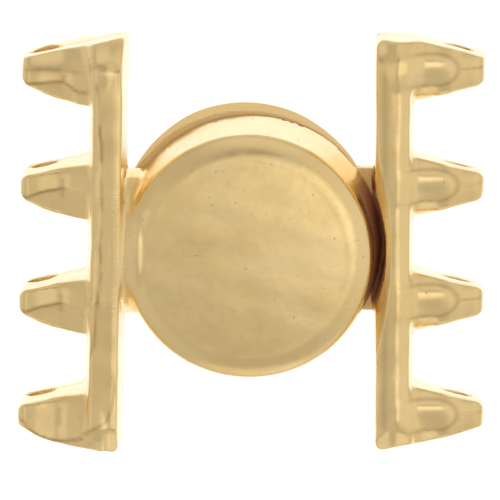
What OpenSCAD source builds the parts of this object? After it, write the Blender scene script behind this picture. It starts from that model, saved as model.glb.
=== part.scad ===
// Magnetic clasp for four strands, fastened and lying on its lower cup.
// Two equal castings meet face to face, with a disc magnet in a pocket of each cup. A casting is a round
// cup, a short neck and a bar with drilled lugs. The bar is as thick as both cups together, so its far
// half is hollowed for the other casting's cup. The lower casting is the upper one turned over.
// Origin: under the middle of the clasp, on the surface it lies on. X runs across the strands' ends,
// Y along the bars, Z up through the cups.

/* [Cup] */
// Radius of the cup at the rim of its outer face
cup_front_r = 6.5; // [6:0.02:6.6]
// Radius of the cup where it meets the other half
cup_base_r = 6.66; // [6.6:0.01:7.2]
// Height of one cup above the middle plane
cup_h = 3.6; // [3.4:0.05:4.6]
// Radius of the rounded rim of the outer face
rim_round = 0.65; // [0.3:0.05:0.9]

/* [Bar] */
// Width of the bar
bar_w = 2; // [1.8:0.05:2.6]
// Thickness of the bar, through both halves
bar_h = 6.9; // [6.4:0.05:7]
// How far the ends of the bar run past the lugs
bar_end = 0.05; // [0:0.01:0.5]
// Length over which the ends of the bar round down
end_round = 1.5; // [1:0.05:2]
// Rise of the slanted end from the outer to the inner edge of the bar
end_rise = 0.4; // [0:0.05:0.8]
// Width of the sloped edge along the outside of the bar's face
outer_slope = 0.55; // [0.3:0.05:0.7]
// Width of the sloped edge along the inside of the bar's face
inner_slope = 0.3; // [0.2:0.05:0.45]
// Width of the long slope on the bar's far half, above the other cup's seat
seat_slope = 0.65; // [0.5:0.05:0.8]

/* [Lugs] */
// Number of strands
strands = 4; // [2:1:6]
// Distance between strands
pitch = 6; // [5:0.1:8]
// Length of a lug from the bar to its tip
lug_l = 3.6; // [3.2:0.05:4.6]
// Width of a lug at the bar
lug_base_w = 3.14; // [2.8:0.02:3.8]
// Width of a lug near its tip
lug_tip_w = 1.32; // [1.1:0.02:1.8]
// Thickness of a lug
lug_h = 4.3; // [3.6:0.05:5]
// Radius of the hole for a strand
hole_r = 0.75; // [0.5:0.01:0.85]
// Distance from the middle of the hole to the tip
hole_inset = 1.3; // [1.2:0.02:1.6]

/* [Neck] */
// Width of the neck at the outer face
neck_face_w = 4.1; // [3:0.05:5]
// Width of the neck at the middle plane
neck_base_w = 7.5; // [6:0.05:8.5]
// Drop from the bar's face to the neck's face
neck_drop = 0.1; // [0:0.02:0.4]

/* [Fit between the halves] */
// Gap between the two castings at the middle plane
half_gap = 0.3; // [0.1:0.02:0.5]
// Sideways shift of one half on the other, as far as they are pushed together
side_shift = 0.2; // [0:0.02:0.3]
// Clearance between a cup and the hollow of the other bar when pushed together
seat_clear = 0.22; // [0.1:0.01:0.5]
// Depth of the hollow into the bar
seat_depth = 0.58; // [0.4:0.01:0.7]
// Radius of the hollow, which is flatter than the cup
seat_r = 8.4; // [8:0.1:12]
// How much the hollow opens towards its mouth
seat_flare = 0.3; // [0:0.05:0.5]

/* [Magnets] */
// Radius of the disc magnet
magnet_r = 4.9; // [4:0.05:5.2]
// Thickness of the disc magnet
magnet_h = 2.2; // [1.5:0.05:2.4]
// Glue gap round the magnet and behind it
glue_gap = 0.1; // [0.05:0.01:0.2]
// Air gap between the two magnets
magnet_gap = 0.12; // [0.06:0.02:0.3]

/* [Hidden] */
$fn = 96;

// Everything below is in the frame of one casting: cup axis on Z, middle plane at z = 0, bar towards -X
base_z = half_gap / 2;
seat_reach = cup_base_r + side_shift + seat_clear;
bar_in = seat_reach - seat_depth;
bar_out = bar_in + bar_w;
tip_x = bar_out + lug_l;
hole_x = tip_x - hole_inset;
lug_y0 = -(strands - 1) * pitch / 2;
bar_half_l = -lug_y0 + lug_base_w / 2 + bar_end;
face_z = bar_h / 2;
overlap = 0.6;
reach_out = 1;

// Section of the bar, once round from its inner wall: distance out from the cup's axis, and height.
// The wall stands straight from the seat slope's upper edge to the inner slope, the face has a low crown,
// and the far outer edge is rounded
seat_slope_top = 0.3;
wall_top = 1;
crown = 0.08;
far_round = 0.5;
bar_section = [
    [bar_in, -seat_slope_top],
    [bar_in, wall_top],
    [bar_in + 0.2 * inner_slope, face_z - inner_slope],
    [bar_in + inner_slope, face_z - crown],
    [bar_in + 0.5 * (bar_w + inner_slope - outer_slope), face_z],
    [bar_out - outer_slope, face_z - crown],
    [bar_out - 0.4 * outer_slope, face_z - 0.5 * outer_slope],
    [bar_out, face_z - 1.3 * outer_slope],
    [bar_out, 0],
    [bar_out, -face_z + far_round],
    [bar_out - 0.5 * far_round, -face_z + 0.15 * far_round],
    [bar_out - far_round, -face_z],
    [bar_in + seat_slope, -face_z],
    [bar_in + 0.8 * seat_slope, -face_z + seat_slope_top]
];

// Rounding of the bar's ends. Columns: way in from the end as a share of end_round, height share
END_IN = 0;
END_HEIGHT = 1;
bar_ends = [
    [0, 0.56],
    [0.12, 0.7],
    [0.3, 0.82],
    [0.6, 0.94],
    [1, 1]
];

// Lug from the bar to its tip. Columns: way along the lug, way from base to tip width,
// rounding of the width, height of the crest, height of the flat sides (shares of half lug_h)
LUG_ALONG = 0;
LUG_TAPER = 1;
LUG_ROUND = 2;
LUG_CREST = 3;
LUG_SIDE = 4;
lug_rows = [
    [-0.3, 0, 1, 1.28, 0.94],
    [0.04, 0.04, 1, 1.24, 0.94],
    [0.2, 0.22, 1, 1.1, 0.92],
    [0.4, 0.44, 1, 1.02, 0.88],
    [0.68, 0.76, 1, 0.98, 0.82],
    [0.88, 0.98, 0.98, 0.87, 0.7],
    [0.96, 1, 0.84, 0.68, 0.54],
    [1, 1, 0.55, 0.46, 0.34]
];
// Arch of a lug across its width. Columns: share of the half width, share of the rise to the crest
lug_arch = [[1, 0], [0.8, 0.52], [0.45, 0.88], [0, 1], [-0.45, 0.88], [-0.8, 0.52], [-1, 0]];

// Neck from the middle plane to the face. Columns: way up, share of the way from base to face width,
// angle from the bar's direction at which its side leaves the cup
NECK_UP = 0;
NECK_NARROW = 1;
NECK_ANGLE = 2;
neck_rows = [
    [0, 0, 49],
    [0.35, 0.28, 42],
    [0.7, 0.66, 31],
    [1, 1, 19]
];
neck_fillet = 0.35;
neck_bite = 0.15;

function mix(a, b, t) = a + (b - a) * t;

// Triangles over one closed ring of n points, in strips between its first and its second half
function cap(start, n) = [
    for (i = [0 : n / 2 - 2])
        each [
            [start + i, start + i + 1, start + n - 2 - i],
            [start + i, start + n - 2 - i, start + n - 1 - i]
        ]
];

function turned(faces) = [for (f = faces) [f[2], f[1], f[0]]];

// Solid through rings with equal, even numbers of points, closed by its first and last rings
module loft(rings) {
    n = len(rings[0]);
    last = len(rings) - 1;
    polyhedron(
        points = [for (ring = rings) for (p = ring) p],
        faces = concat(
            turned(cap(0, n)),
            [for (k = [0 : last - 1]) for (i = [0 : n - 1])
                [k * n + i, k * n + (i + 1) % n, (k + 1) * n + i]],
            [for (k = [0 : last - 1]) for (i = [0 : n - 1])
                [k * n + (i + 1) % n, (k + 1) * n + (i + 1) % n, (k + 1) * n + i]],
            cap(last * n, n)
        )
    );
}

// Radius of the cup's wall at a height above the middle plane
function cup_wall_r(z) = mix(cup_base_r, cup_front_r, (z - base_z) / (cup_h - base_z));

module cup() {
    rotate_extrude()
        polygon(concat(
            [[0, base_z], [cup_base_r, base_z]],
            [for (a = [0 : 15 : 90])
                [cup_front_r - rim_round * (1 - cos(a)), cup_h - rim_round * (1 - sin(a))]],
            [[0, cup_h]]
        ));
}

// Ring of the bar at one end row: side is -1 or 1, the slanted end shears it along Y
function bar_ring(row, side) = [
    for (p = bar_section)
        let (inset = row[END_IN] * end_round)
        [
            -p[0],
            side * (bar_half_l - inset + end_rise * (bar_out - p[0]) / bar_w * (1 - row[END_IN])),
            p[1] * row[END_HEIGHT]
        ]
];

module bar() {
    n = len(bar_ends);
    loft(concat(
        [for (i = [0 : n - 1]) bar_ring(bar_ends[i], -1)],
        [for (i = [n - 1 : -1 : 0]) bar_ring(bar_ends[i], 1)]
    ));
}

function lug_ring(row) =
    let (
        x = -(bar_out + row[LUG_ALONG] * lug_l),
        w = row[LUG_ROUND] * mix(lug_base_w, lug_tip_w, row[LUG_TAPER]) / 2,
        side = row[LUG_SIDE] * lug_h / 2,
        rise = (row[LUG_CREST] - row[LUG_SIDE]) * lug_h / 2
    )
    concat(
        [for (p = lug_arch) [x, p[0] * w, side + p[1] * rise]],
        [for (p = lug_arch) [x, -p[0] * w, -side - p[1] * rise]]
    );

module lug() {
    loft([for (row = lug_rows) lug_ring(row)]);
}

function neck_ring(row) =
    let (
        z = mix(base_z, face_z - neck_drop, row[NECK_UP]),
        w = mix(neck_base_w, neck_face_w, row[NECK_NARROW]) / 2,
        r = cup_wall_r(z) - rim_round * row[NECK_UP] - neck_bite,
        side = [
            [-bar_in - overlap, w + neck_fillet + overlap],
            [-bar_in + neck_fillet, w],
            [-r * cos(row[NECK_ANGLE]), max(w, r * sin(row[NECK_ANGLE]))]
        ]
    )
    concat(
        [for (p = side) [p[0], p[1], z]],
        [for (i = [len(side) - 1 : -1 : 0]) [side[i][0], -side[i][1], z]]
    );

module neck() {
    loft([for (row = neck_rows) neck_ring(row)]);
}

// Hollow for the other half's cup, on the far side of the middle plane
module seat_cut() {
    translate([seat_r - seat_reach, 0, -face_z - reach_out])
        cylinder(r1 = seat_r + seat_flare, r2 = seat_r, h = face_z + reach_out - base_z);
}

module pocket_cut() {
    translate([0, 0, base_z - reach_out])
        cylinder(r = magnet_r + glue_gap, h = magnet_gap / 2 + magnet_h + glue_gap - base_z + reach_out);
}

module strand_holes() {
    translate([-hole_x, 0, 0])
        rotate([90, 0, 0])
            cylinder(r = hole_r, h = 2 * (bar_half_l + reach_out), center = true);
}

module casting() {
    difference() {
        union() {
            cup();
            neck();
            bar();
            for (i = [0 : strands - 1])
                translate([0, lug_y0 + i * pitch, 0])
                    lug();
        }
        seat_cut();
        pocket_cut();
        strand_holes();
    }
}

module magnet() {
    translate([0, 0, magnet_gap / 2])
        cylinder(r = magnet_r, h = magnet_h);
}

module upper_place() {
    translate([side_shift / 2, 0, cup_h])
        children();
}

module lower_place() {
    translate([-side_shift / 2, 0, cup_h])
        rotate([0, 180, 0])
            children();
}

module upper_casting() {
    color("#d9b45f")
        upper_place()
            casting();
}

module upper_magnet() {
    color("#b9bcc0")
        upper_place()
            magnet();
}

module lower_casting() {
    color("#d2ab56")
        lower_place()
            casting();
}

module lower_magnet() {
    color("#b9bcc0")
        lower_place()
            magnet();
}

upper_casting();
upper_magnet();
lower_casting();
lower_magnet();
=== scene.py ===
import math
from collections import namedtuple

import bpy
import numpy as np
from mathutils import Matrix, Vector

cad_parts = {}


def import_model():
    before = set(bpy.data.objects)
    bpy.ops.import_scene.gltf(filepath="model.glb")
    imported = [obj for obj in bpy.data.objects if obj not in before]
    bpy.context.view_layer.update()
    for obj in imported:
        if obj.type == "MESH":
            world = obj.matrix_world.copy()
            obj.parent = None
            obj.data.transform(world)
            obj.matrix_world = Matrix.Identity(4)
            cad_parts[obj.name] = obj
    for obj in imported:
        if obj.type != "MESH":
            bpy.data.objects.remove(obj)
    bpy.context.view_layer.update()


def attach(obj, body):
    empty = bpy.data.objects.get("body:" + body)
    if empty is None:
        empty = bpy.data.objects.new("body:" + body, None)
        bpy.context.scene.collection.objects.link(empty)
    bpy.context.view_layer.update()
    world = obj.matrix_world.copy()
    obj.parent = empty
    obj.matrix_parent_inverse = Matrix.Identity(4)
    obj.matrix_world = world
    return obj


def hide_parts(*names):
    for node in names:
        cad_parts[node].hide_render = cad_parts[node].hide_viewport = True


# All lengths are in millimetres until a mesh is written. A casting is modelled in its own frame: cup axis
# on Z, middle plane at z = 0. The distance u runs from the axis through the bar to the lug tips, towards -X.
MM = 0.001

# Grid that the castings are meshed on
VOXEL = 0.135
NET_LOW = (-12.3, -11.2, -3.7)
NET_HIGH = (6.95, 11.2, 3.8)

# Cup: radius at its open end, height, fall of the face to its rim, height of the open end above the middle
# plane, start and radius of the rounded rim, and the faint ring on the face
CUP_BASE_R = 6.66
CUP_H = 3.6
CUP_DOME = 0.24
BASE_Z = 0.07
RIM_START = 5.15
RIM_ARC = 1.85
RING_R = 5.0
RING_H = 0.012
RING_W = 0.36

# Where the two castings differ: radius of the cup's outer face, its lean and offset from the open end, the
# side towards which the +Y end flares, how much wider the bar's end is at the lugs, the reach of the lug
# tips, and the offset and lean of the lugs' +Y walls. FLARE is the slope of the flare
Form = namedtuple("Form", "front_r lean offset up end_lift tip_u wall")
UPPER = Form(6.28, (-0.03, -0.052), (-0.06, 0.0), 1, 0.0, 11.9, (-0.12, -0.02))
LOWER = Form(6.5, (0.055, 0.0), (0.0, 0.05), -1, 0.28, 12.15, (0.0, 0.14))
FLARE = 0.1

# Bar: its walls at the middle plane, height of its face, drafts, and place, slant and draft of its ends
BAR_IN = 6.5
BAR_OUT = 8.5
BAR_FACE = 3.45
OUT_DRAFT = 0.1
IN_DRAFT = 0.045
END_Y = 10.93
END_SLOPE = 0.235
END_DRAFT = 0.05

# Lugs: their middle lines along the bar, and place and radius of their holes
LUG_Y = (-9.0, -3.0, 3.0, 9.0)
HOLE_U = 10.75
HOLE_R = 0.75

# Places across a lug: its brow, on the top lug and on the others, and its far side's crest line and swelling
BROW_TOP = 0.1
BROW = 0.7
KEEL_V = 0.38
BUMP_V = 0.66

# Curves along a lug, as pairs of the distance from the cup's axis and a value: half its width, height of the
# face on the cup's side and on the far side, swell of its lower side, and the crease across its face
LUG_HALF_W = ((8.0, 1.62), (8.4, 1.56), (9.2, 1.38), (10.1, 1.16), (11.3, 0.86), (12.0, 0.7))
LUG_CREST = (
    (7.6, 3.42), (8.0, 3.34), (8.4, 3.08), (8.8, 2.8), (9.3, 2.47),
    (9.8, 2.27), (10.4, 2.21), (11.0, 2.16), (11.5, 2.07), (12.1, 1.86),
)
LUG_KEEL = (
    (7.6, 3.3), (8.0, 3.18), (8.4, 3.04), (9.1, 2.84),
    (9.6, 2.74), (10.4, 2.6), (11.2, 2.22), (12.1, 1.88),
)
LUG_BOW = ((8.0, 0.08), (8.8, 0.24), (9.3, 0.3), (10.1, 0.33), (10.8, 0.25), (11.3, 0.1), (12.0, 0.0))
CREASE_TOP = ((8.3, -0.85), (9.0, -0.9), (9.7, -0.43), (10.6, -0.48), (11.6, -0.62))
CREASE_MIDDLE = ((8.3, 0.05), (9.6, 0.05), (10.8, -0.2), (11.5, -0.5))
CREASE_BOTTOM = ((8.3, -0.85), (9.2, -1.13), (10.0, -1.2), (10.6, -1.08), (11.2, -0.75), (11.6, -0.2))

# Creases of the bar: along its face, round its -Y end, and the soft edge near its +Y end; the last two only
# guide painted shade lines
BAR_CREASE = (
    (-9.8, 8.35), (-6.8, 8.2), (-3.0, 7.82), (0.0, 7.66),
    (4.0, 7.66), (6.8, 7.8), (8.5, 8.0), (9.8, 8.2),
)
CURL_PATH = ((6.3, 6.84), (7.1, 6.86), (8.2, 6.97), (8.87, 7.2), (9.24, 7.75), (9.56, 8.3))
END_PATH = ((6.8, 9.3), (7.0, 9.75), (7.4, 9.85), (8.3, 9.45))

# Hollow for the other cup, the bevel round its rim, the magnet's pocket, and how the halves lie: each shifted
# sideways from the middle, the lower one a little more, and the upper one turned by degrees about a pivot
SEAT_R = 8.4
SEAT_FLARE = 0.08
SEAT_REACH = 7.08
BEVEL_R = 21.0
BEVEL_REACH = 7.48
POCKET_R = 5.0
POCKET_Z = 2.36
SHIFT = 0.1
LOWER_OFF = (-0.1, 0.08)
UPPER_TURN = -1.0
UPPER_PIVOT = -6.0

# Magnet: radius, height, distance from the middle plane, radius and number of sides of its edge
MAGNET_R = 4.9
MAGNET_H = 2.2
MAGNET_GAP = 0.06
MAGNET_EDGE = 0.14
MAGNET_SIDES = 72


# Fields
def smax(a, b, r):
    """Intersection with a round edge of radius r."""
    return np.minimum(np.maximum(a, b), -r) + np.hypot(np.maximum(a + r, 0), np.maximum(b + r, 0))


def smin(a, b, r):
    """Union with a fillet of radius r."""
    return -smax(-a, -b, r)


def mix(a, b, t):
    return a + (b - a) * t


def ramp(t, lo, hi):
    t = np.clip((t - lo) / (hi - lo), 0, 1)
    return t * t * (3 - 2 * t)


def curve(t, points, blur=0.3):
    """Curve through the given points, with its corners rounded over a length of blur."""
    xs, ys = zip(*points)
    dense = np.linspace(xs[0] - 2 * blur, xs[-1] + 2 * blur, 600)
    step = dense[1] - dense[0]
    half = max(int(blur / step), 1)
    kernel = np.hanning(2 * half + 3)
    padded = np.pad(np.interp(dense, xs, ys), half + 1, "edge")
    values = np.convolve(padded, kernel / kernel.sum(), "valid")
    return np.interp(t, dense, values)


def ridge(t, width):
    """Smooth hump of height 1 round t = 0."""
    return np.exp(-(t / width) ** 2)


def waves(x, y, z, size, seed, octaves=2):
    """Smooth wandering field of about -1 to 1 with features of the given size."""
    rng = np.random.default_rng(seed)
    out = np.zeros(np.broadcast(x, y, z).shape)
    total = 0.0
    for k in range(octaves):
        for _ in range(5):
            d = rng.normal(size=3)
            d *= 2 * math.pi / (size * 0.5 ** k * rng.uniform(0.8, 1.5) * np.linalg.norm(d))
            amp = 0.5 ** k
            out = out + amp * np.sin(x * d[0] + y * d[1] + z * d[2] + rng.uniform(0, 6.28))
            total += amp * amp / 2
    return out / math.sqrt(total) / 1.6


def cup_field(x, y, z, form):
    """Round cup with a domed face, a rounded rim and a faint ring."""
    dx = x - form.offset[0] - form.lean[0] * z
    dy = y - form.offset[1] - form.lean[1] * z
    r = np.hypot(dx, dy)
    wall = r - mix(CUP_BASE_R, form.front_r, np.clip((z - BASE_Z) / (CUP_H - BASE_Z), 0, 1))
    over = np.clip(r - RIM_START, 0, 0.95 * RIM_ARC)
    crown = CUP_DOME * np.clip(r / form.front_r, 0, 1.2) ** 2 + RIM_ARC - np.sqrt(RIM_ARC ** 2 - over ** 2)
    right = 0.35 + 0.65 * ramp((dx + 0.5 * dy) / np.maximum(r, 0.1), -0.6, 0.6)
    crown = crown + RING_H * right * ridge(r - RING_R, RING_W)
    face = (z - (CUP_H - crown)) * 0.85
    body = smax(wall, face, 0.14)
    return smax(body, BASE_Z - z, 0.06)


def bar_field(u, y, z):
    """Bar without its slanted ends."""
    back = np.maximum(-z, 0)
    inner = BAR_IN + IN_DRAFT * np.abs(z) - u
    outer = u - (BAR_OUT - OUT_DRAFT * np.maximum(z, 0) + 0.12 * ramp(back, 0, 0.8) - 0.07 * back)
    walls = smax(inner, outer, 0.2)
    # face of the cup's side: long shallow slope to a crease, then a steeper strip along the outer edge
    crease = bar_crease(y)
    shallow = z - (BAR_FACE - 0.12 * (u - 7.02))
    steep = (z - (BAR_FACE - 0.12 * (crease - 7.02) - 0.5 * (u - crease))) * 0.9
    inward = z - (BAR_FACE - 0.16 * (7.02 - u) - 0.9 * np.maximum(6.84 - u, 0) ** 2)
    face = smax(smax(shallow, steep, 0.05), inward, 0.1)
    over = np.maximum(np.abs(y) - 9.25, 0)
    fall = np.where(y > 0, 0.3 * over + 0.32 * over ** 2, 0.62 * over)
    end_drop = (z - (BAR_FACE - 0.06 - fall)) * 0.8
    face = smax(face, end_drop, np.where(y > 0, 0.12, 0.3))
    # face of the far side: slope rising from the inner wall, dip, then a rounded ridge
    corner = 0.4 * ramp(-y, 8.4, 9.4) * np.maximum(7.6 - u, 0)
    slope = 0.2 - 0.12 * ramp(y, 9.0, 10.2)
    rise = (-z - (BAR_FACE - 0.03 - slope * (7.3 - u) - corner)) * 0.9
    hump = -z - (BAR_FACE - 0.02 + 0.03 * (u - 7.4) - 0.14 * np.maximum(u - 7.6, 0) ** 2)
    lip = (-z - (BAR_FACE - 0.08 - 0.6 * (u - 8.02))) * 0.86
    far = smax(smax(rise, hump, 0.06), lip, 0.1)
    drop_up = 0.12 * (y - 9.4) + 0.36 * np.maximum(y - 9.6, 0) ** 2
    drop = np.where(y > 0, drop_up, 0.55 * (-y - 9.0)) + 0.06
    far = smax(far, (-z - (BAR_FACE - drop)) * 0.85, np.where(y > 0, 0.4, 0.1))
    body = smax(walls, face, 0.18)
    return smax(body, far, 0.14)


def bar_crease(y):
    """Where the worn crease along the bar's face runs, as a distance from the cup's axis."""
    return curve(y, BAR_CREASE, 0.8) + 0.03 * np.sin(1.9 * y + 1.0) + 0.015 * np.sin(5.3 * y)


def lug_crease(u, centre):
    """Height above the lug's middle line of the crease across its face, which runs differently on each."""
    top = curve(u, CREASE_TOP, 0.15)
    middle = curve(u, CREASE_MIDDLE)
    bottom = curve(u, CREASE_BOTTOM)
    return np.where(centre > 8, top, np.where(centre < -8, bottom, middle))


def swelling(u, v):
    """Distance from the middle of the swelling on a lug's far side, 1 at its edge."""
    return np.hypot(np.maximum(u - 9.55, 0) / 1.4, (v - KEEL_V) / 0.92)


def bow(u, below, z):
    """How far the lower sides of the lugs and of the bar's end swell on the cup's side."""
    return curve(u, LUG_BOW) * below * ramp(z, -0.6, 0.6)


def flare(z, up):
    """Outward lean of the +Y walls towards the side that faces up, and their draft on the other side."""
    return FLARE * np.clip(up * z, 0, 2.4) - 0.06 * np.maximum(-up * z, 0) ** 1.7


def end_field(u, y, z, form):
    """Slanted plane that cuts both ends of the bar and the outer sides of the end lugs."""
    back = np.maximum(-z, 0)
    draft = np.where(y > 0, flare(z, form.up) - 0.1, -END_DRAFT * np.maximum(z, 0) - 0.06 * back ** 1.7)
    reach = END_Y - END_SLOPE * (u - BAR_IN) + draft + form.end_lift * ramp(u, 6.6, 8.8) * (y > 0)
    reach = reach + bow(u, y < 0, z) + 0.1 * ramp(u, 8, 9) * ramp(12 - u, 0, 1.5) * ramp(back, 0, 1)
    return (np.abs(y) - reach) * 0.97


def lug_field(u, v, z, centre, form):
    """One lug: flat-sided towards the cup's face, rounded like a keel towards the other side."""
    out = np.maximum(z, 0)
    back = np.maximum(-z, 0)
    half = curve(u, LUG_HALF_W)
    wall = form.wall[0] + form.wall[1] * np.clip(form.up * z, 0, 2.4)
    wall = wall - 0.15 * np.maximum(-form.up * z, 0)
    half = half + np.where(v > 0, wall, -0.05 * out - 0.04 * back ** 2.0 + bow(u, True, z))
    outward = (np.abs(centre) > 8) & (v * np.sign(centre) > 0)
    side = np.where(outward, -3.0, np.abs(v) - half) * 0.97
    # face of the cup's side: a level boss above a crease, a slope over its brow and a steeper one below
    crest = curve(u, LUG_CREST)
    brow = np.where(centre > 8, BROW_TOP, BROW)
    line = lug_crease(u, centre)
    over = v - brow
    boss = crest + 0.09 * (u - 10.6)
    bend = mix(0.28, 0.42, ramp(u, 8.5, 10.5))
    upper = (z - (boss - 0.14 * over - bend * np.maximum(over, 0) ** 2)) * 0.85
    middle = z - (boss - 0.06 * over)
    lower = (z - (boss - 0.06 * (line - brow) - 0.38 * (line - v))) * 0.93
    face = smax(smax(upper, middle, 0.02), lower, 0.02)
    # far side: a swelling that runs out of the bar's ridge, then two facets with a crest line to the tip
    keel = curve(u, LUG_KEEL, 0.2)
    bump = np.hypot(np.maximum(u - 9.9, 0) / 1.0 + np.maximum(9.9 - u, 0) / 2.4, (v - BUMP_V) / 0.95)
    keel = keel + 0.15 * (0.5 + 0.5 * np.cos(math.pi * np.clip(bump, 0, 1)))
    level = 1 - ramp(swelling(u, v), 0.3, 1.0)
    above, below = np.maximum(v - KEEL_V, 0), np.maximum(KEEL_V - v, 0)
    roll = mix(0.3, 0.7, ramp(u, 9.5, 11.2)) * np.maximum(above - 0.3, 0) ** 2
    root = ramp(-u, -10.0, -9.5)
    steep = np.where(centre < -8, 0, 0.8)
    under = root * (0.35 * np.maximum(-v - 0.45, 0) + steep * np.maximum(-v - 1.0, 0))
    fold = mix(0.12, 0.35, ramp(u, 10.5, 11.1)) * above + roll + 0.1 * below + 0.12 * below ** 2 + under
    facet = (-z - (keel - mix(fold, 0.07 - 0.03 * (v - KEEL_V), level))) * 0.8
    body = smax(side, smax(face, facet, 0.1), 0.16)
    return smax(body, u - form.tip_u, 0.5)


def neck_field(u, y, z):
    """Saddle between the cup and the bar."""
    across = np.abs(y)
    top = (z - (BAR_FACE - 0.16 - 0.08 * y ** 2 - 0.25 * np.maximum(across - 1.6, 0) ** 2)) * 0.7
    body = smax(across - 3.75, top, 0.3)
    body = smax(body, BASE_Z - z, 0.12)
    body = smax(body, u - (BAR_IN + 0.6), 0.05)
    return smax(body, 5.75 - u, 0.05)


def casting_field(x, y, z, form):
    """Whole casting: negative inside the metal, zero on its surface."""
    u = -x
    centre = nearest_lug(y)
    v = y - centre
    lug = smax(lug_field(u, v, z, centre, form), mix(7.85, 7.5, ramp(z, -1.0, 1.0)) - u, 0.05)
    web = 0.3 + 0.4 * ramp(y, 8.2, 9.4) + 0.15 * ramp(-y, 8.2, 9.4) + 0.15 * ramp(-z, 1.5, 2.5)
    body = smin(bar_field(u, y, z), lug, web)
    end = end_field(u, y, z, form)
    body = smax(body, end, 0.15)
    round_corner = 0.6 - 0.25 * ramp(z, -0.5, 0.5) * (y > 0)
    body = smax(body, smax(BAR_IN + IN_DRAFT * np.abs(z) - u, end, round_corner), 0.1)
    head = smin(cup_field(x, y, z, form), neck_field(u, y, z), 0.35)
    body = smin(body, head, 0.3)
    # hollow for the other cup, with a bevel round its rim
    seat_wall = seat_distance(x, y, z)
    seat = smax(seat_wall, z + BASE_Z, 0.05)
    body = smax(body, -seat, 0.08)
    body = smax(body, -smax(bevel_distance(x, y, z), z + 2.6, 0.05), 0.06)
    # pocket for the magnet
    pocket = smax(np.hypot(x, y) - POCKET_R, z - POCKET_Z, 0.1)
    body = smax(body, -pocket, 0.1)
    # strand holes
    hole = np.hypot(u - HOLE_U, z) - HOLE_R
    body = smax(body, -hole, 0.08)
    return body + mix(0.02, 0.01, ramp(-np.hypot(x, y), -6.5, -5.5)) * waves(x, y, z, 4.0, 3)


def seat_distance(x, y, z):
    """Distance outwards from the wall of the hollow for the other cup."""
    back = np.clip(-z, 0, 4)
    seat_r = SEAT_R + SEAT_FLARE * back / BAR_FACE
    return np.hypot(x - (SEAT_R - SEAT_REACH), y) - seat_r


def bevel_distance(x, y, z):
    """Distance outwards from the bevel round that hollow's rim."""
    return (np.hypot(x - (BEVEL_R - BEVEL_REACH), y) - BEVEL_R - 0.82 * (-z - BAR_FACE)) * 0.77


def nearest_lug(y):
    """Place along the bar of the nearest lug's middle line."""
    first, pitch = LUG_Y[0], LUG_Y[1] - LUG_Y[0]
    k = np.clip(np.round((y - first) / pitch), 0, len(LUG_Y) - 1)
    return first + k * pitch


# Meshing
def surface_net(field, lo, hi, h):
    """Quad mesh of the zero surface of a field over a box, by naive surface nets."""
    axes = [np.arange(a, b + h, h) for a, b in zip(lo, hi)]
    gx, gy, gz = np.meshgrid(*axes, indexing="ij", sparse=True)
    f = field(gx, gy, gz)
    n = np.array(f.shape)
    inside = f < 0
    corners = [(i, j, k) for i in (0, 1) for j in (0, 1) for k in (0, 1)]

    def block(a, c):
        return a[c[0]:n[0] - 1 + c[0], c[1]:n[1] - 1 + c[1], c[2]:n[2] - 1 + c[2]]

    count = sum(block(inside, c).astype(np.int8) for c in corners)
    mixed = (count > 0) & (count < 8)
    cells = np.argwhere(mixed)
    index = -np.ones(mixed.shape, np.int64)
    index[mixed] = np.arange(len(cells))
    values = {c: block(f, c)[mixed] for c in corners}
    total = np.zeros((len(cells), 3))
    hits = np.zeros(len(cells))
    for c in corners:
        for axis in range(3):
            if c[axis]:
                continue
            d = list(c)
            d[axis] = 1
            d = tuple(d)
            fa, fb = values[c], values[d]
            cross = (fa < 0) != (fb < 0)
            t = np.where(cross, fa / np.where(cross, fa - fb, 1), 0)
            p = np.array(c, float)[None, :] + t[:, None] * (np.array(d) - np.array(c))[None, :]
            total += np.where(cross[:, None], p, 0)
            hits += cross
    verts = np.array(lo)[None, :] + (cells + total / hits[:, None]) * h
    quads = []
    for axis in range(3):
        a = [slice(0, n[0]), slice(0, n[1]), slice(0, n[2])]
        b = [slice(0, n[0]), slice(0, n[1]), slice(0, n[2])]
        a[axis] = slice(0, n[axis] - 1)
        b[axis] = slice(1, n[axis])
        fa, fb = inside[tuple(a)], inside[tuple(b)]
        where = np.argwhere(fa != fb)
        o1, o2 = [(1, 2), (2, 0), (0, 1)][axis]
        low = (where[:, o1] > 0) & (where[:, o2] > 0)
        high = (where[:, o1] < n[o1] - 1) & (where[:, o2] < n[o2] - 1)
        where = where[low & high]
        e1 = np.zeros(3, int)
        e2 = np.zeros(3, int)
        e1[o1] = 1
        e2[o2] = 1
        ring = [where - e1 - e2, where - e2, where, where - e1]
        q = np.stack([index[w[:, 0], w[:, 1], w[:, 2]] for w in ring], axis=1)
        flip = ~fa[where[:, 0], where[:, 1], where[:, 2]]
        q[flip] = q[flip][:, ::-1]
        quads.append(q)
    return verts, np.vstack(quads)


def gradient(field, p, e=0.01):
    g = np.empty_like(p)
    for k in range(3):
        d = np.zeros(3)
        d[k] = e
        a, b = p + d, p - d
        g[:, k] = field(a[:, 0], a[:, 1], a[:, 2]) - field(b[:, 0], b[:, 1], b[:, 2])
    return g / (2 * e)


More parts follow.
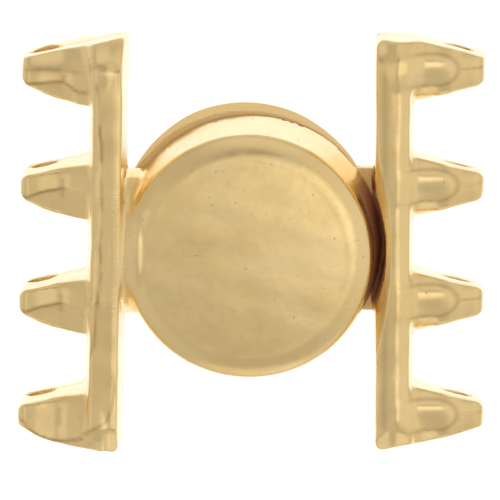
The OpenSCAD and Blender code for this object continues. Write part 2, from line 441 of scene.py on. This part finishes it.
def settle(field, verts, quads, rounds=3):
    """Evens the mesh out and puts each vertex on the surface."""
    n = len(verts)
    for k in range(rounds):
        if k < rounds - 1:
            total = np.zeros_like(verts)
            hits = np.zeros(n)
            for i in range(4):
                a, b = quads[:, i], quads[:, (i + 1) % 4]
                for s, t in ((a, b), (b, a)):
                    for axis in range(3):
                        total[:, axis] += np.bincount(s, weights=verts[t, axis], minlength=n)
                    hits += np.bincount(s, minlength=n)
            verts = mix(verts, total / np.maximum(hits, 1)[:, None], 0.5)
        for _ in range(2):
            g = gradient(field, verts)
            f = field(verts[:, 0], verts[:, 1], verts[:, 2])
            step = f / np.maximum((g * g).sum(1), 0.1)
            verts = verts - np.clip(step, -0.1, 0.1)[:, None] * g
    g = gradient(field, verts)
    return verts, g / np.maximum(np.linalg.norm(g, axis=1), 1e-9)[:, None]


def linked(name, data):
    """New object in the scene that holds the given data."""
    obj = bpy.data.objects.new(name, data)
    bpy.context.scene.collection.objects.link(obj)
    return obj


def mesh_object(name, verts, quads, normals):
    mesh = bpy.data.meshes.new(name)
    mesh.vertices.add(len(verts))
    mesh.vertices.foreach_set("co", (verts * MM).astype(np.float32).ravel())
    mesh.loops.add(quads.size)
    mesh.loops.foreach_set("vertex_index", quads.astype(np.int32).ravel())
    mesh.polygons.add(len(quads))
    mesh.polygons.foreach_set("loop_start", np.arange(0, quads.size, quads.shape[1], dtype=np.int32))
    mesh.update(calc_edges=True)
    mesh.polygons.foreach_set("use_smooth", np.ones(len(quads), bool))
    mesh.validate()
    mesh.normals_split_custom_set_from_vertices(normals)
    return linked(name, mesh)


def casting(form):
    """Vertices, quads and normals of one casting, in its own frame."""

    def field(x, y, z):
        return casting_field(x, y, z, form)

    verts, quads = surface_net(field, NET_LOW, NET_HIGH, VOXEL)
    verts, normals = settle(field, verts, quads)
    return verts, quads, normals


def wear_and_shade(p, n, lower):
    """Masks over a casting: painted shade in the gap, rough mating faces, painted shade on the lower cup's
    wall, which is also made a little rougher, bores, filed neck, and painted dark lines along creases.
    """
    x, y, z = p.T
    r = np.hypot(x, y)
    angle = np.degrees(np.arctan2(y, x))
    outer_side = ramp(r, 6.2, 6.35) * ramp(z, 0.0, 0.06)
    top_angle = 28 if lower else 34
    sector = ramp(angle, -30, -26) * ramp(-angle, -top_angle, 3 - top_angle)
    # Painted shade: brown where the cup's outer wall faces the other casting across the narrow gap, and round
    # the hollow's wall on the lower casting
    gap = outer_side * sector * ramp(-z, -3.2, -3.0)
    if lower:
        near = ramp(-np.abs(seat_distance(x, y, z)), -0.4, -0.3) * (x < -5)
        below_bevel = ramp(bevel_distance(x, y, z), 0.02, 0.1)
        middle = ramp(-y, -2.7, -2.2) * ramp(y, -3.1, -2.8)
        gap = np.maximum(gap, near * ramp(-z, -0.1, 0.02) * below_bevel * middle)
    mate = ramp(-n[:, 2], 0.6, 0.9) * ramp(-np.abs(z - BASE_Z), -0.2, -0.1) * (r < 9)
    # Painted shade on the lower cup's outer wall, in place of the shadowed table it would reflect; the wall
    # is also made a little rougher
    wall_shade = 0 * x
    if lower:
        wall_shade = outer_side * (1 - ramp(n[:, 2], 0.3, 0.6)) * ramp(-r, -7.0, -6.9) * ramp(x, -5.9, -5.5)
    bore = ramp(-np.hypot(-x - HOLE_U, z), -HOLE_R - 0.1, -HOLE_R - 0.02)
    filed = ramp(-x, 5.6, 6.2) * ramp(x, -8.2, -7.4) * ramp(-np.abs(y), -3.6, -2.2) * ramp(z, 1.5, 2.8)
    # Painted shade along creases, crests and edges
    crease = crease_shade_mask(x, y, z, n)
    return {"gap": gap, "mate": mate, "wall_shade": wall_shade, "bore": bore, "filed": filed, "crease": crease}


def crease_shade_mask(x, y, z, n):
    """Painted shade: dark lines along the creases, crests and soft edges of the bars and lugs."""
    centre = nearest_lug(y)
    u, v = -x, y - centre
    top_lug = centre > 8
    front = ramp(n[:, 2], 0.4, 0.6) * ramp(z, 1.0, 1.4)
    rear = ramp(-n[:, 2], 0.3, 0.5) * ramp(-z, 1.0, 1.4)
    bar = 0.7 * ridge(u - bar_crease(y), 0.075) * ramp(-y, -8.9, -8.3) * ramp(y, -8.0, -7.0)
    bar = bar * ramp(waves(x, y, z, 2.5, 11), -1.0, 0.3)
    inner_end = np.where(np.abs(centre) > 8, ramp(u, 8.3, 8.6), ramp(u, 9.4, 9.7))
    lug = 0.65 * ridge(v - lug_crease(u, centre), 0.09) * inner_end
    reach = 0.6 * (1 - top_lug)
    step = 0.4 * ridge(u - 9.72, 0.09) * ramp(v, -0.5, -0.35) * ramp(-v, -0.1 - reach, 0.2 - reach)
    brow = 0.3 * ridge(v - BROW_TOP, 0.1) * ramp(u, 8.6, 9.2) * top_lug
    # ends of the bar: the crease curls round the -Y end, and a soft edge follows the ridge's +Y end
    curl = ridge((u - curve(-y, CURL_PATH, 0.15)) / (1 + 1.2 * ramp(-y, 8.6, 9.2)), 0.08)
    curl = 0.45 * curl * ramp(-y, 6.4, 7.6) * ramp(y, -9.75, -9.6)
    end = 0.2 * ridge(y - curve(u, END_PATH, 0.2), 0.1) * ramp(-u, -8.5, -8.2) * ramp(u, 6.7, 6.9)
    end = np.maximum(end, 0.3 * ridge(u - 6.84, 0.09) * ramp(y, 8.0, 8.6) * ramp(-y, -9.6, -9.3))
    blob = swelling(u, v)
    ring = 0.4 * ridge(blob - 0.92, 0.1) * ramp(u, 7.9, 8.9)
    crest = 0.4 * ridge(v - KEEL_V, 0.06) * ramp(blob, 0.95, 1.05)
    valley = 0.3 * ridge(u - 7.12, 0.16) * ramp(-np.abs(y), -9.6, -9.0)
    on_front = np.maximum.reduce([bar, lug, step, brow, curl, end])
    on_rear = np.maximum.reduce([ring, crest, valley])
    return front * on_front + rear * on_rear


def turned(p, angle, pivot):
    """Turns points or normals about a vertical axis."""
    c, s = math.cos(math.radians(angle)), math.sin(math.radians(angle))
    rot = np.array([[c, -s, 0], [s, c, 0], [0, 0, 1.0]])
    pivot = np.array([pivot, 0, 0])
    return (p - pivot) @ rot.T + pivot


def place_upper(p, normal=False):
    """From the casting's own frame to the upper half's place."""
    if normal:
        return turned(p, UPPER_TURN, 0)
    return turned(p, UPPER_TURN, UPPER_PIVOT) + np.array([SHIFT, 0, CUP_H])


def place_lower(p, normal=False):
    """From the casting's own frame to the lower half's place, turned over."""
    q = p * np.array([-1, 1, -1])
    return q if normal else q + np.array([LOWER_OFF[0] - SHIFT, LOWER_OFF[1], CUP_H])


# Materials
GOLD_DEEP = (0.94, 0.755, 0.44)
GOLD_LIGHT = (0.965, 0.79, 0.50)
GOLD_DULL = (0.87, 0.73, 0.48)
PIT = (0.33, 0.23, 0.1)
SEAM = (0.42, 0.37, 0.22)
# Painted shade on the lower cup's wall
WALL_SHADE_GOLD = (0.8, 0.62, 0.34)
BORE_GOLD = (1.0, 0.78, 0.45)
MATE_GOLD = (0.98, 0.76, 0.48)
# Painted shade along creases, crests and edges
CREASE_SHADE_BROWN = (0.4, 0.27, 0.12)
# Painted shade in the gap between the halves
GAP_SHADE_BROWN = (0.58, 0.3, 0.19)
WHITE = (1, 1, 1)
# Painted shade: darker reflection tint on the lower cup's wall
WALL_SHADE_EDGE = (0.62, 0.5, 0.3)
# Painted shade: nearly black reflection tint in the gap
GAP_SHADE_EDGE = (0.08, 0.04, 0.02)
NICKEL_DARK = (0.55, 0.54, 0.52)
NICKEL_LIGHT = (0.68, 0.67, 0.65)
# Least roughness under each mask
MASK_ROUGH = (("filed", 0.36), ("wall_shade", 0.3), ("bore", 0.45), ("mate", 0.5), ("gap", 0.55))


def new_material(name):
    """Material with its node tree and its shader."""
    mat = bpy.data.materials.new(name)
    mat.use_nodes = True
    tree = mat.node_tree
    bsdf = tree.nodes["Principled BSDF"]
    return mat, tree, bsdf


class Graph:
    """Builds a shader graph over places on a piece, in millimetres, or over a world's directions."""

    def __init__(self, tree, source="Object", scale=1 / MM):
        self.nodes, self.links = tree.nodes, tree.links
        self.at = self.vector("SCALE", self.add("ShaderNodeTexCoord").outputs[source], scale=scale)

    def add(self, kind, **values):
        node = self.nodes.new(kind)
        for key, value in values.items():
            setattr(node, key, value)
        return node

    def put(self, socket, value):
        if isinstance(value, bpy.types.NodeSocket):
            self.links.new(value, socket)
        else:
            socket.default_value = value

    def math(self, op, *args):
        node = self.add("ShaderNodeMath", operation=op)
        for socket, value in zip(node.inputs, args):
            self.put(socket, value)
        return node.outputs[0]

    def vector(self, op, *args, scale=None):
        node = self.add("ShaderNodeVectorMath", operation=op)
        for socket, value in zip(node.inputs, args):
            self.put(socket, value)
        if scale is not None:
            node.inputs["Scale"].default_value = scale
        return node.outputs["Value" if op in ("LENGTH", "DOT_PRODUCT") else "Vector"]

    def noise(self, scale, detail=2.0, stretch=(1, 1, 1)):
        """Noise over the piece, with the scale in features a millimetre."""
        node = self.add("ShaderNodeTexNoise")
        self.put(node.inputs["Vector"], self.vector("MULTIPLY", self.at, stretch))
        node.inputs["Scale"].default_value = scale
        node.inputs["Detail"].default_value = detail
        return node.outputs["Fac"]

    def spread(self, value, lo, hi, to_lo=0.0, to_hi=1.0, smooth=True):
        """Maps lo to hi onto to_lo to to_hi, and holds it there beyond them."""
        node = self.add("ShaderNodeMapRange", interpolation_type="SMOOTHSTEP" if smooth else "LINEAR")
        keys = ("Value", "From Min", "From Max", "To Min", "To Max")
        for key, v in zip(keys, (value, lo, hi, to_lo, to_hi)):
            self.put(node.inputs[key], v)
        return node.outputs["Result"]

    def mask(self, name):
        return self.add("ShaderNodeAttribute", attribute_name=name).outputs["Fac"]

    def colour(self, factor, a, b):
        node = self.add("ShaderNodeMix", data_type="RGBA")
        self.put(node.inputs["Factor"], factor)
        for key, v in (("A", a), ("B", b)):
            self.put(node.inputs[key], v if isinstance(v, bpy.types.NodeSocket) else (*v, 1.0))
        return node.outputs["Result"]

    def bump(self, height, strength, distance, normal=None):
        node = self.add("ShaderNodeBump")
        node.inputs["Strength"].default_value = strength
        node.inputs["Distance"].default_value = distance
        self.put(node.inputs["Height"], height)
        if normal is not None:
            self.put(node.inputs["Normal"], normal)
        return node.outputs["Normal"]


def gold_material():
    mat, tree, bsdf = new_material("gold_plate")
    g = Graph(tree)
    bsdf.inputs["Metallic"].default_value = 1.0
    broad = g.noise(0.35, 3)
    fine = g.noise(2.2, 4)
    base = g.colour(g.spread(broad, 0.35, 0.65), GOLD_DEEP, GOLD_LIGHT)
    base = g.colour(g.spread(fine, 0.6, 0.75, 0, 0.25), base, GOLD_DULL)
    # pin-prick specks and small pits
    speck = g.spread(g.noise(5.0, 2), 0.70, 0.76)
    base = g.colour(g.math("MULTIPLY", speck, 0.45), base, PIT)
    # casting seam round the middle of the bars and lugs
    height = g.math("SUBTRACT", g.vector("DOT_PRODUCT", g.at, (0, 0, 1)), CUP_H)
    wobble = g.spread(g.noise(0.8, 2), 0, 1, -0.12, 0.12, False)
    seam = g.spread(g.math("ABSOLUTE", g.math("ADD", height, wobble)), 0.22, 0.08)
    outside = g.spread(g.vector("LENGTH", g.vector("MULTIPLY", g.at, (1, 1, 0))), 7.0, 7.6)
    seam = g.math("MULTIPLY", seam, outside)
    base = g.colour(g.math("MULTIPLY", seam, 0.55), base, SEAM)
    # Painted shade on the lower cup's wall
    base = g.colour(g.math("MULTIPLY", g.mask("wall_shade"), 0.6), base, WALL_SHADE_GOLD)
    base = g.colour(g.mask("bore"), base, BORE_GOLD)
    base = g.colour(g.math("MULTIPLY", g.mask("mate"), 0.8), base, MATE_GOLD)
    # Painted shade: dark lines along creases, crests and edges
    base = g.colour(g.mask("crease"), base, CREASE_SHADE_BROWN)
    # Painted shade in the gap: dark brown and not metallic
    base = g.colour(g.mask("gap"), base, GAP_SHADE_BROWN)
    g.put(bsdf.inputs["Base Color"], base)
    g.put(bsdf.inputs["Metallic"], g.math("SUBTRACT", 1.0, g.mask("gap")))
    # Painted shade: darker reflection tint on the lower cup's wall
    edge = g.colour(g.mask("wall_shade"), WHITE, WALL_SHADE_EDGE)
    # Painted shade: reflections nearly put out in the gap
    edge = g.colour(g.mask("gap"), edge, GAP_SHADE_EDGE)
    g.put(bsdf.inputs["Specular Tint"], edge)
    rough = g.spread(fine, 0.3, 0.7, 0.17, 0.27)
    for key, value in MASK_ROUGH:
        rough = g.math("MAXIMUM", rough, g.math("MULTIPLY", g.mask(key), value))
    g.put(bsdf.inputs["Roughness"], rough)
    # surface: soft cast unevenness, brushed lines, file marks across the neck, pits
    lines = g.noise(1.6, 3, (1, 7, 7))
    files = g.math("MULTIPLY", g.noise(3.0, 3, (0.5, 3.5, 0.5)), g.mask("filed"))
    normal = g.bump(g.noise(0.9, 3), 1.0, 0.000012)
    normal = g.bump(lines, 0.35, 0.000004, normal)
    normal = g.bump(files, 1.0, 0.00002, normal)
    normal = g.bump(speck, 0.6, -0.00002, normal)
    g.put(bsdf.inputs["Normal"], normal)
    return mat


def nickel_material():
    mat, tree, bsdf = new_material("nickel_plate")
    g = Graph(tree)
    bsdf.inputs["Metallic"].default_value = 1.0
    grain = g.noise(0.9)
    g.put(bsdf.inputs["Base Color"], g.colour(grain, NICKEL_DARK, NICKEL_LIGHT))
    g.put(bsdf.inputs["Roughness"], g.spread(grain, 0, 1, 0.25, 0.4, False))
    return mat


# Magnets
def magnet():
    """Disc with rounded edges, turned from its profile."""
    e = MAGNET_EDGE
    sides = MAGNET_SIDES
    top = MAGNET_GAP + MAGNET_H
    profile = [(0.0, MAGNET_GAP), (3.2, MAGNET_GAP), (MAGNET_R - 1.4 * e, MAGNET_GAP)]
    for a in np.radians([-60, -30, 0]):
        profile.append((MAGNET_R - e + e * math.cos(a), MAGNET_GAP + e + e * math.sin(a)))
    for a in np.radians([0, 30, 60, 90]):
        profile.append((MAGNET_R - e + e * math.cos(a), top - e + e * math.sin(a)))
    profile += [(2.5, top), (0.0, top)]
    verts, faces, rows = [], [], []
    for r, z in profile:
        if r == 0:
            rows.append([len(verts)] * sides)
            verts.append((0, 0, z))
        else:
            rows.append(list(range(len(verts), len(verts) + sides)))
            verts += [(r * math.cos(2 * math.pi * k / sides), r * math.sin(2 * math.pi * k / sides), z)
                      for k in range(sides)]
    for a, b in zip(rows[:-1], rows[1:]):
        for k in range(sides):
            corners = [a[k], a[(k + 1) % sides], b[(k + 1) % sides], b[k]]
            faces.append(list(dict.fromkeys(corners)))
    return np.array(verts, float), faces


def magnet_object(name, place):
    verts, faces = magnet()
    verts = place(verts)
    mesh = bpy.data.meshes.new(name)
    mesh.from_pydata((verts * MM).tolist(), [], faces)
    mesh.polygons.foreach_set("use_smooth", np.ones(len(mesh.polygons), bool))
    mesh.update()
    return linked(name, mesh)


# Stage
WORLD_BASE = 0.53
WARM = (1.0, 0.9, 0.68, 1)
# Panels of the light tent: direction, angles from it in degrees within which it is full and beyond which it
# is out, and gain
WORLD_PANELS = (
    ((0.25, -0.02, 1), 1, 24, 0.5),
    ((1, 0.1, 0.5), 10, 65, 0.25),
    ((0, -1, 0.2), 5, 26, 0.3),
    ((0, 1, 0.6), 5, 34, 0.22),
    ((0.45, -0.9, 0.1), 5, 24, 0.2),
    ((-1, 0, 0.5), 10, 50, 0.05),
    ((-0.8, -0.6, 0.55), 10, 40, 0.06),
    ((-0.3, -0.03, 1), 4, 15, 0.09),
    ((-0.1, -0.1, 1), 2, 7, 0.1),
    ((0.04, 0.26, 1), 4, 19, -0.15),
    ((-0.8, -0.1, 1), 3, 17, 0.17),
)
# White table: half its size in metres, brightness near the clasp and far from it, and the distances in
# metres between which that falls
TABLE_HALF = 0.6
TABLE_GREY = (0.25, 0.25, 0.25, 1)
TABLE_NEAR = 1.05
TABLE_FAR = 0.5
TABLE_FALL = (0.0138, 0.021)


def table_material():
    mat, tree, bsdf = new_material("floor_white")
    bsdf.inputs["Base Color"].default_value = TABLE_GREY
    bsdf.inputs["Roughness"].default_value = 0.9
    g = Graph(tree)
    apart = g.add("ShaderNodeSeparateXYZ")
    g.put(apart.inputs[0], g.vector("ABSOLUTE", g.at))
    reach = g.math("MULTIPLY", g.math("MAXIMUM", apart.outputs["X"], apart.outputs["Y"]), MM)
    g.put(bsdf.inputs["Emission Strength"], g.spread(reach, *TABLE_FALL, TABLE_NEAR, TABLE_FAR))
    g.put(bsdf.inputs["Emission Color"], g.colour(g.spread(reach, *TABLE_FALL), WHITE, WARM[:3]))
    return mat


def light_tent():
    """Even warm light with soft panels, which brighten or darken it round their directions."""
    world = bpy.data.worlds.new("studio")
    bpy.context.scene.world = world
    world.use_nodes = True
    g = Graph(world.node_tree, "Generated", 1.0)
    total = WORLD_BASE
    for direction, near, far, gain in WORLD_PANELS:
        cosine = g.vector("DOT_PRODUCT", g.at, Vector(direction).normalized())
        edges = math.cos(math.radians(far)), math.cos(math.radians(near))
        total = g.math("ADD", g.spread(cosine, *edges, 0.0, gain), total)
    back = g.nodes["Background"]
    g.put(back.inputs["Strength"], total)
    back.inputs["Color"].default_value = WARM


def stage():
    mesh = bpy.data.meshes.new("floor")
    s = TABLE_HALF
    mesh.from_pydata([(-s, -s, 0), (s, -s, 0), (s, s, 0), (-s, s, 0)], [], [(0, 1, 2, 3)])
    mesh.materials.append(table_material())
    floor = linked("floor", mesh)
    light_tent()


# Camera: tilts from straight above in degrees, distance to its target, scale and size of the picture, and
# the pixel of the picture where its target lands
CAM_TILT_Y = 12.2
CAM_TILT_X = 2.3
CAM_DIST = 500.0
CAM_TARGET = (0, 0, 3.6)
CAM_SENSOR = 36
PICTURE_PX = 500
PX_PER_MM = 19.5
AIM_PX = (251.3, 239.9)


def camera():
    target = Vector(CAM_TARGET) * MM
    tilt_x, tilt_y = math.radians(CAM_TILT_X), math.radians(CAM_TILT_Y)
    back = Vector((math.tan(tilt_x), math.tan(tilt_y), 1)).normalized()
    right = Vector((0, 1, 0)).cross(back).normalized()
    up = back.cross(right).normalized()
    cam_data = bpy.data.cameras.new("camera")
    cam = linked("camera", cam_data)
    turn = Matrix((right, up, back)).transposed()
    cam.matrix_world = Matrix.Translation(target + back * CAM_DIST * MM) @ turn.to_4x4()
    half_px = PICTURE_PX / 2
    cam_data.sensor_width = CAM_SENSOR
    cam_data.lens = CAM_SENSOR / 2 * CAM_DIST * PX_PER_MM / half_px
    cam_data.shift_x = (half_px - AIM_PX[0]) / PICTURE_PX
    cam_data.shift_y = (AIM_PX[1] - half_px) / PICTURE_PX
    cam_data.clip_start = 0.01
    cam_data.clip_end = 10
    bpy.context.scene.camera = cam


def main():
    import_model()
    gold, nickel = gold_material(), nickel_material()
    for name, form, place, body, node in (
        ("upper_cast_metal", UPPER, place_upper, "upper_half", "upper_casting"),
        ("lower_cast_metal", LOWER, place_lower, "lower_half", "lower_casting"),
    ):
        verts, quads, normals = casting(form)
        obj = mesh_object(name, place(verts), quads, place(normals, True))
        obj.data.materials.append(gold)
        for key, values in wear_and_shade(verts, normals, node == "lower_casting").items():
            layer = obj.data.attributes.new(key, "FLOAT", "POINT")
            layer.data.foreach_set("value", values.astype(np.float32))
        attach(obj, body)
        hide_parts(node)
    for name, place, body, node in (
        ("upper_disc_magnet", place_upper, "upper_half", "upper_magnet"),
        ("lower_disc_magnet", place_lower, "lower_half", "lower_magnet"),
    ):
        obj = magnet_object(name, place)
        obj.data.materials.append(nickel)
        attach(obj, body)
        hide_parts(node)
    stage()
    camera()
    bpy.context.scene.view_settings.view_transform = "Standard"


main()
